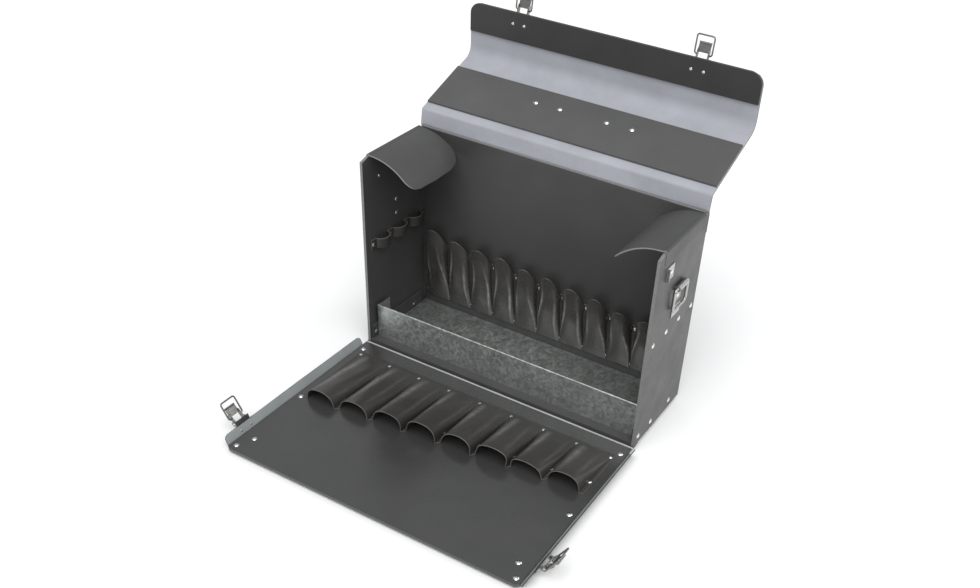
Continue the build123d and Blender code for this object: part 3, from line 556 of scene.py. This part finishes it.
# Ears: leather that rolls over the side panels' tops and curls inward
def ear_profile():
    """Rows of an ear's profile: way out from its axis, height over it, and thickness."""
    reach, droop, curl, roll = 80 * MM, math.radians(29), math.radians(56), 2.8 * MM
    hem_out, hem_levels = 2.35 * MM, (-16.0, -12.0, -8.0, -4.0, -1.5)
    hem_thick, roll_grow = 0.6, 0.5  # In mm, as the levels are
    roll_turn, roll_steps = math.pi / 2 + 0.15, 9
    leaf_in, leaf_up, leaf_thick, leaf_steps = 0.6 * MM, 1.4 * MM, 1.9 * MM, 26
    rows = [(hem_out, level * MM, hem_thick * MM) for level in hem_levels]
    for turn in np.linspace(0, roll_turn, roll_steps):
        share = turn / roll_turn
        radius = hem_out + share * roll_grow * MM
        rows.append((radius * math.cos(turn), radius * math.sin(turn), (hem_thick + share) * MM))
    first_turn, last_turn = droop - curl / 2, droop + curl / 2
    place = np.array([-roll * math.cos(first_turn) - leaf_in, -roll * math.sin(first_turn) + leaf_up])
    for turn in np.linspace(first_turn, last_turn, leaf_steps):
        rows.append((*place, leaf_thick))
        place = place - reach / leaf_steps * np.array([math.cos(turn), math.sin(turn)])
    return np.array(rows)


def ear(side, hand):
    """One ear, from the outside of its panel to its rounded free edge."""
    axis = joint_at[f"{hand}_ear_fold"]
    node = f"{hand}_ear"
    front_corner, back_corner = 20 * MM, 25 * MM
    free_from, free_run = 30 * MM, 60 * MM
    wave_seed, wave_size, wave_depth = 5, 0.12, 1.3 * MM
    rows = ear_profile()
    run = run_along(rows[:, :2])
    left = run[-1] - run
    begin = low(node)[1] + corner_cut(left, front_corner)
    end = high(node)[1] - corner_cut(left, back_corner)
    share = np.concatenate([[0.0], np.linspace(0.012, 0.988, 37), [1.0]])
    y = begin[:, None] + share[None, :] * (end - begin)[:, None]
    free = ease((run - free_from) / free_run)[:, None]
    lift = ripple(y, run[:, None], wave_seed, wave_size, wave_depth) * free
    x = axis[0] + side * rows[:, 0][:, None] + 0 * y
    z = axis[2] + rows[:, 1][:, None] + lift
    grid = handed(np.stack([x, y, z], axis=2), side)
    piece = shell(f"{hand}_ear_leather", grid, rows[:, 2][:, None], (ear_leather, ear_leather, ear_edge))
    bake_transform(piece)
    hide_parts(node)


for side, hand in SIDES:
    ear(side, hand)


# Flanges: edge strips folded up from under the front panel
def flange(side, hand):
    """One flange with its leg under the panel, and the tab that reaches in near its latch."""
    axis = joint_at[f"{hand}_flange_fold"]
    leg_low, leg_high = low(f"{hand}_flange_leg"), high(f"{hand}_flange_leg")
    latch_y = joint_at[f"{hand}_side_lever_turn"][1]
    height, splay, sheet = 14.5 * MM, math.radians(24), 1.2 * MM
    leg, bend, corner, path_step = 14.2 * MM, 2.2 * MM, 6 * MM, 1.5 * MM
    wave_seed, wave_size, wave_depth = 23, 0.2, 0.5 * MM
    pad_thick, pad_half = 1.2 * MM, 15 * MM
    tip = np.array([height * math.sin(splay), height * math.cos(splay)])
    path, run = rounded_path([(-leg, 0.0), (0.0, 0.0), tip], [bend], path_step)
    cut = corner_cut(run[-1] - run, corner)
    share = np.concatenate([[0.0], np.linspace(0.004, 0.996, 60), [1.0]])
    y = leg_low[1] + cut[:, None] + share[None, :] * (leg_high[1] - leg_low[1] - 2 * cut)[:, None]
    free = ease((run - leg) / height)[:, None]
    lean = ripple(y, run[:, None], wave_seed, wave_size, wave_depth) * free
    x = axis[0] + side * (path[:, 0][:, None] + lean)
    z = axis[2] + path[:, 1][:, None] - lean * math.tan(splay) * 0.5
    grid = handed(np.stack([x, y, z], axis=2), side)
    padding = pad_thick * np.exp(-((grid[..., 1] - latch_y) / pad_half) ** 6) * free
    piece = shell(f"{hand}_flange_strip", grid, sheet + padding, (flange_backing, coat, coat_edge))
    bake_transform(piece)
    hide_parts(f"{hand}_flange", f"{hand}_flange_leg")
    tab_reach, tab_width, tab_middle = 28 * MM, 26 * MM, hinge[1] - 258 * MM
    tab_x, tab_y = np.meshgrid(np.linspace(outer_x - tab_reach, outer_x - leg, 6),
                               tab_middle + np.linspace(-tab_width / 2, tab_width / 2, 8), indexing="ij")
    tab_grid = handed(np.stack([side * tab_x, tab_y, np.full_like(tab_x, axis[2])], axis=2), side)
    tab = shell(f"{hand}_flange_tab", tab_grid, sheet, (coat, coat, coat_edge))
    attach(tab, "front")


for side, hand in SIDES:
    flange(side, hand)


# Front hinge: a leather welt along the bend, with a tail under the base
def welt():
    """Round bead on the hinge line and the strip that holds it."""
    strip_low, strip_high = low("front_hinge_strip"), high("front_hinge_strip")
    radius = hinge[2] - strip_low[2]
    ring_count, around_count, tail_sheet = 120, 16, 1.6 * MM
    slow_share, slow_rate, quick_share, quick_rate = 0.03, 70, 0.02, 190  # Waves in the bead's radius
    around = np.linspace(0, math.tau, around_count + 1)[:-1]
    rings = []
    for place in np.linspace(strip_low[0], strip_high[0], ring_count):
        size = radius * (1 + slow_share * math.sin(place * slow_rate)
                         + quick_share * math.sin(place * quick_rate + 1))
        rings.append([(place, hinge[1] + size * math.cos(a), hinge[2] + size * math.sin(a)) for a in around])
    bead = tube("front_hinge_welt", rings, welt_leather)
    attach(bead, "case_body")
    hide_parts("front_hinge_strip")
    tail_y, tail_x = np.meshgrid(np.linspace(hinge[1] + radius * 0.8, strip_high[1], 8),
                                 np.linspace(strip_low[0], strip_high[0], 40), indexing="ij")
    grid = np.stack([tail_x, tail_y, np.full_like(tail_x, strip_high[2] - tail_sheet / 2)], axis=2)
    tail = shell("front_hinge_tail", grid[::-1], tail_sheet, (coat, coat, coat_edge))
    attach(tail, "case_body")


welt()


# Pockets: one sheet that arches over every pocket and runs along the board between them
def arches(count, per):
    """Angle and owner of each column of a row of arches, from left to right."""
    angle = np.tile(np.linspace(math.pi, 0, per + 1), count)
    owner = np.repeat(np.arange(count), per + 1)
    return angle, owner


def with_ends(x, first, last):
    """Columns with a flat end added on each side."""
    rows = x.shape[0]
    return np.concatenate([np.broadcast_to(first, (rows, 1)), x, np.broadcast_to(last, (rows, 1))], axis=1)


def front_pockets():
    """Eight pockets on the front panel, flat at the hinge and open toward its free edge."""
    node = "front_pocket_strip"
    count, margin, sheet = 8, 3.5 * MM, 1.3 * MM
    rear, begin = 27 * MM, 32 * MM
    mouth_middle, mouth_slope = 135 * MM, 0.108
    half_share, half_narrow = 0.497, 0.05  # Half a pocket's width as a share of the pitch
    flank_fold, mouth_dip, groove_depth = 2.2 * MM, 1.6 * MM, 2.6 * MM
    groove_at, groove_turn, groove_width = 0.75, 0.5, 0.2  # Angles on the arch
    # Angles on the arch, widths and strengths of the painted highlight streaks
    left_highlight, left_highlight_width, left_highlight_most = 2.2, 0.2, 0.55
    right_highlight, right_highlight_width, right_highlight_most = 0.95, 0.1, 0.2
    wave_seed, wave_size, wave_depth = 31, 0.035, 0.7 * MM
    left_x, right_x = low(node)[0] + margin, high(node)[0] - margin
    pitch = (right_x - left_x) / count
    angle, owner = arches(count, 36)
    rise = np.sin(angle)
    tall = np.array([20.0, 18.0, 21.5, 24.0, 22.0, 24.5, 16.5, 21.5])[owner] * MM
    lean = np.array([0.0, 0.5, 3.0, 2.5, 3.5, 5.5, -2.5, 1.5])[owner] * MM
    bulge = np.array([0.15, 0.2, 0.3, 0.3, 0.25, 0.55, 0.35, 0.2])[owner]
    shift = np.array([1.0, -1.5, 0.5, 1.5, -0.5, 2.0, -1.0, 0.5])[owner] * MM
    phase = rng.uniform(0, math.tau, count)[owner]
    centre = left_x + (owner + 0.5) * pitch
    mouth = mouth_middle - mouth_slope * centre + shift * rise
    v = np.concatenate([[0.0, 0.01, 0.025, 0.04], np.linspace(0.055, 0.985, 46), [1.0]])[:, None]
    reach = rear + (mouth - rear)[None, :] * v
    open_share = np.clip((reach - begin) / (mouth - begin), 0, 1)
    width = pitch * (half_share - half_narrow * ease(open_share))
    turn = np.cos(angle)[None, :] * (1 + bulge * rise**2 * open_share**2)
    x = centre + width * turn + lean * rise * open_share**1.5
    z = tall * open_share**0.92 * rise ** (1.0 - 0.25 * (1 - open_share))
    # Slack in the leather: folds along the flanks, a dip behind the mouth, and a groove in the right flank
    slack = rise * open_share * (1 - open_share)
    z = z + flank_fold * slack * np.sin(4.0 * angle + phase)
    z = z + mouth_dip * slack * np.sin(9.0 * open_share + phase)
    z = z + ripple(x, reach, wave_seed, wave_size, wave_depth) * rise * ease(open_share * 3)
    z = np.maximum(z, 0) + sheet / 2
    groove = hump(angle - groove_at - groove_turn * open_share, groove_width)
    groove = groove * np.sin(math.pi * open_share)
    z = z - groove_depth * groove * (0.7 + 0.3 * np.sin(phase))
    # Painted highlights as paler leather: along the upper left, and a little on the right flank
    left_streak = hump(angle - left_highlight - 0.1 * np.sin(phase), left_highlight_width)
    right_streak = hump(angle - right_highlight + 0.2 * np.sin(2 * phase), right_highlight_width)
    rubbed = left_highlight_most * left_streak * np.sin(math.pi * open_share**0.7)
    rubbed = rubbed + right_highlight_most * right_streak * slack * 4
    x = with_ends(x, left_x - margin, right_x + margin)
    y = hinge[1] - with_ends(reach, reach[:, :1], reach[:, -1:])
    z = panel_top + with_ends(z, sheet / 2, sheet / 2)
    piece = shell("front_pockets", np.stack([x, y, z], axis=2), sheet,
                  (pocket_leather, pocket_inside, pocket_edge), with_ends(rubbed, 0.0, 0.0))
    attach(piece, "front")
    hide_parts(node)


front_pockets()


def back_pockets():
    """Ten pockets on the back wall with a sloping scalloped edge."""
    node = "back_pocket_strip"
    count, margin, sheet = 10, 4 * MM, 1.2 * MM
    valley_height, valley_slope = 80 * MM, 0.072
    half_share, half_narrow = 0.497, 0.10  # Half a pocket's width as a share of the pitch
    foot_depth, mouth_depth = 1.2, 15.8  # In mm
    pull_left, crease_height = -3.0 * MM, 1.1 * MM
    long_wave, cross_wave = 1.3 * MM, 0.9 * MM
    low_at, low_turn, low_middle = 0.5, 0.55, 0.38  # Angle, its change up the pocket, and height
    high_at, high_turn, high_middle = 2.6, -0.7, 0.52
    crease_width, crease_run = 0.11, 0.26
    wave_seed, wave_size, wave_depth = 47, 0.03, 0.5 * MM
    left_x, right_x = low(node)[0] + margin, high(node)[0] - margin
    pitch = (right_x - left_x) / count
    middle = (left_x + right_x) / 2
    bottom = low(node)[2]
    angle, owner = arches(count, 32)
    rise = np.sin(angle)
    centre = left_x + (owner + 0.5) * pitch
    tall = rng.uniform(0.88, 1.08, count)[owner]
    phase = rng.uniform(0, math.tau, count)[owner]
    sway = rng.uniform(-1.0, 2.2, count)[owner] * MM
    peak = rng.uniform(21.0, 27.0, count)[owner] * MM
    edge_x = centre + pitch / 2 * np.cos(angle)
    valley = bottom + valley_height - valley_slope * (edge_x - middle)
    top = valley + peak * np.sin(angle + 0.22 * rise) ** 1.2
    v = np.concatenate([[0.0, 0.008], np.linspace(0.025, 0.985, 44), [1.0]])[:, None]
    z = bottom + (top - bottom)[None, :] * v
    width = pitch * (half_share - half_narrow * ease(v * 1.15))
    pull = pull_left * v + sway * np.sin(math.tau * v * 0.9)
    x = centre + width * np.cos(angle) + pull * rise
    depth = (foot_depth + mouth_depth * v**0.8) * MM * tall * rise**0.9
    slack = rise * np.sin(math.pi * v)
    depth = depth + slack * (long_wave * np.sin(5.0 * v + phase)
                             + cross_wave * np.sin(3.0 * angle + 4.0 * v + phase))
    depth = depth + ripple(x, z, wave_seed, wave_size, wave_depth) * rise
    depth = np.maximum(depth, 0) + sheet / 2
    # Raised creases, low on the right flank and higher on the left, with a painted highlight of paler leather
    # along them
    swing = 0.16 * np.sin(math.tau * v + phase)
    low_fold = hump(angle - low_at - low_turn * v - swing, crease_width)
    low_fold = low_fold * hump(v - low_middle, crease_run)
    high_fold = hump(angle - high_at - high_turn * v - swing, crease_width)
    high_fold = high_fold * hump(v - high_middle, crease_run)
    depth = depth + crease_height * (low_fold + high_fold)
    rubbed = low_fold * (0.75 + 0.25 * np.sin(phase)) + high_fold * (0.65 + 0.35 * np.cos(phase))
    x = with_ends(x, left_x - margin, right_x + margin)
    z = with_ends(z, z[:, :1], z[:, -1:])
    depth = with_ends(depth, sheet / 2, sheet / 2)
    grid = np.stack([x, wall_y - depth, z], axis=2)
    piece = shell("back_pockets", grid[:, ::-1], sheet, (pocket_shine, pocket_inside, pocket_edge),
                  with_ends(rubbed, 0.0, 0.0)[:, ::-1])
    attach(piece, "case_body")
    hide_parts(node)


back_pockets()


def side_loops(side, hand):
    """Three tool loops on a side wall."""
    node = f"{hand}_loop_strip"
    count, margin, sheet, half_loop = 3, 4 * MM, 1.5 * MM, 13 * MM
    y_low, y_high = low(node)[1] + margin, high(node)[1] - margin
    z_low, z_high = low(node)[2], high(node)[2]
    pitch = (y_high - y_low) / count
    most = abs(high(node)[0] - low(node)[0]) - sheet
    angle, owner = arches(count, 28)
    rise = np.sin(angle)
    tall = rng.uniform(0.94, 1.02, count)[owner]
    lean = rng.uniform(-1.5, 1.5, count)[owner] * MM
    v = np.concatenate([[0.0, 0.03], np.linspace(0.1, 0.9, 8), [0.97, 1.0]])[:, None]
    y = y_low + (owner + 0.5) * pitch + half_loop * np.cos(angle) + lean * rise + 0 * v
    depth = most * tall * rise * (0.94 + 0.06 * v) + sheet / 2
    z = z_low + (z_high - z_low) * v + 0 * depth
    y = with_ends(y, y_low - margin, y_high + margin)
    z = with_ends(z, z[:, :1], z[:, -1:])
    depth = with_ends(depth, sheet / 2, sheet / 2)
    grid = handed(np.stack([side * (inner_x - depth), y, z], axis=2), -side)
    piece = shell(f"{hand}_loops", grid, sheet, (pocket_inside, pocket_leather, pocket_edge))
    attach(piece, "case_body")
    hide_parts(node)


for side, hand in SIDES:
    side_loops(side, hand)


# Handle grip: a swelling leather sleeve with a seam
def grip():
    """Leather sleeve round the middle of the handle's bow."""
    sleeve_low, sleeve_high = low("handle_grip"), high("handle_grip")
    middle = (sleeve_low + sleeve_high) / 2
    most = (sleeve_high[1] - sleeve_low[1]) / 2
    half_length = sleeve_high[0] - middle[0]
    neck, swell = 0.84, 0.16  # Shares of the largest radius
    end_from, end_run, end_drop = 0.93, 0.07, 0.35
    seam_at, seam_width, seam_depth = math.pi * 0.5, 0.09, 0.06
    around = np.linspace(0, math.tau, 41)[:-1]
    ends = np.array([0.95, 0.98, 0.995, 1.0])
    rings = []
    for share in np.concatenate([-ends[::-1], np.linspace(-0.9, 0.9, 30), ends]):
        end = 1 - end_drop * max(0.0, (abs(share) - end_from) / end_run) ** 2
        size = most * (neck + swell * math.cos(share * math.pi / 2) ** 0.7) * end
        ring = []
        for a in around:
            r = size * (1 - seam_depth * math.exp(-((a - seam_at) / seam_width) ** 2))
            ring.append((middle[0] + share * half_length, middle[1] + r * math.cos(a),
                         middle[2] + r * math.sin(a)))
        rings.append(ring)
    sleeve = tube("handle_sleeve", rings, grip_leather)
    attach(sleeve, "handle")
    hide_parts("handle_grip")


grip()

# Stage: floor, world, lights and camera
floor_half = 14.0
floor_mesh = bpy.data.meshes.new("floor")
floor_mesh.from_pydata([(-floor_half, -floor_half, 0), (floor_half, -floor_half, 0),
                        (floor_half, floor_half, 0), (-floor_half, floor_half, 0)], [], [(0, 1, 2, 3)])
floor = bpy.data.objects.new("floor", floor_mesh)
bpy.context.scene.collection.objects.link(floor)
floor_paint, floor_tree, floor_shader, floor_coords = material("floor_paint")
floor_tone = ramp(floor_tree, noise(floor_tree, floor_coords, 3.0), [(0.3, 0.9), (0.7, 0.92)])
floor_tree.links.new(floor_tone, floor_shader.inputs["Base Color"])
floor_shader.inputs["Roughness"].default_value = 0.9
floor_shader.inputs["Specular IOR Level"].default_value = 0.1
floor_mesh.materials.append(floor_paint)

# The camera sees white paper behind the case; the case is lit by a dimmer sky
world = bpy.data.worlds.new("studio")
bpy.context.scene.world = world
world.use_nodes = True
world_tree = world.node_tree
world_tree.nodes.clear()
rays = world_tree.nodes.new("ShaderNodeLightPath")
sky = world_tree.nodes.new("ShaderNodeBackground")
sky.inputs["Color"].default_value = (0.97, 0.985, 1.0, 1.0)
sky.inputs["Strength"].default_value = 0.5
paper = world_tree.nodes.new("ShaderNodeBackground")
paper.inputs["Color"].default_value = (1.0, 1.0, 1.0, 1.0)
paper.inputs["Strength"].default_value = 1.0
choose = world_tree.nodes.new("ShaderNodeMixShader")
world_out = world_tree.nodes.new("ShaderNodeOutputWorld")
world_tree.links.new(rays.outputs["Is Camera Ray"], choose.inputs["Fac"])
world_tree.links.new(sky.outputs["Background"], choose.inputs[1])
world_tree.links.new(paper.outputs["Background"], choose.inputs[2])
world_tree.links.new(choose.outputs["Shader"], world_out.inputs["Surface"])


def area_light(name, place, target, size, power):
    """Soft square light aimed at a point."""
    data = bpy.data.lights.new(name, "AREA")
    data.size = size
    data.energy = power
    made = bpy.data.objects.new(name, data)
    made.location = place
    made.rotation_euler = (Vector(target) - Vector(place)).to_track_quat("-Z", "Y").to_euler()
    bpy.context.scene.collection.objects.link(made)


def sun(name, way, strength, spread_deg):
    """Wide soft light from far away; way points toward it."""
    data = bpy.data.lights.new(name, "SUN")
    data.energy = strength
    data.angle = math.radians(spread_deg)
    made = bpy.data.objects.new(name, data)
    made.rotation_euler = Vector(way).to_track_quat("Z", "Y").to_euler()
    bpy.context.scene.collection.objects.link(made)


sun("key", (0.2, -0.45, 0.87), strength=2.4, spread_deg=60.0)
area_light("back_edge", (1.6, 1.4, 1.6), (0.1, 0.0, 0.15), size=1.2, power=10.0)

camera_data = bpy.data.cameras.new("camera")
camera_data.sensor_width = 36.0
camera_data.lens = 39.09
camera_data.shift_x = -0.0483
camera_data.shift_y = 0.1374
camera_data.clip_start, camera_data.clip_end = 0.01, 60.0
camera = bpy.data.objects.new("camera", camera_data)
bpy.context.scene.collection.objects.link(camera)
camera_place = Vector((0.60066, -1.07863, 0.88973))
camera_target = Vector((0.0287, 0.0124, -0.1013))
camera_roll = math.radians(4.23)
ahead = (camera_target - camera_place).normalized()
level_right = ahead.cross(Vector((0, 0, 1))).normalized()
level_up = level_right.cross(ahead)
right = level_right * math.cos(camera_roll) + level_up * math.sin(camera_roll)
up = level_up * math.cos(camera_roll) - level_right * math.sin(camera_roll)
turned = Matrix((right, up, -ahead)).transposed().to_4x4()
turned.translation = camera_place
camera.matrix_world = turned
bpy.context.scene.camera = camera
bpy.context.scene.view_settings.view_transform = "Standard"
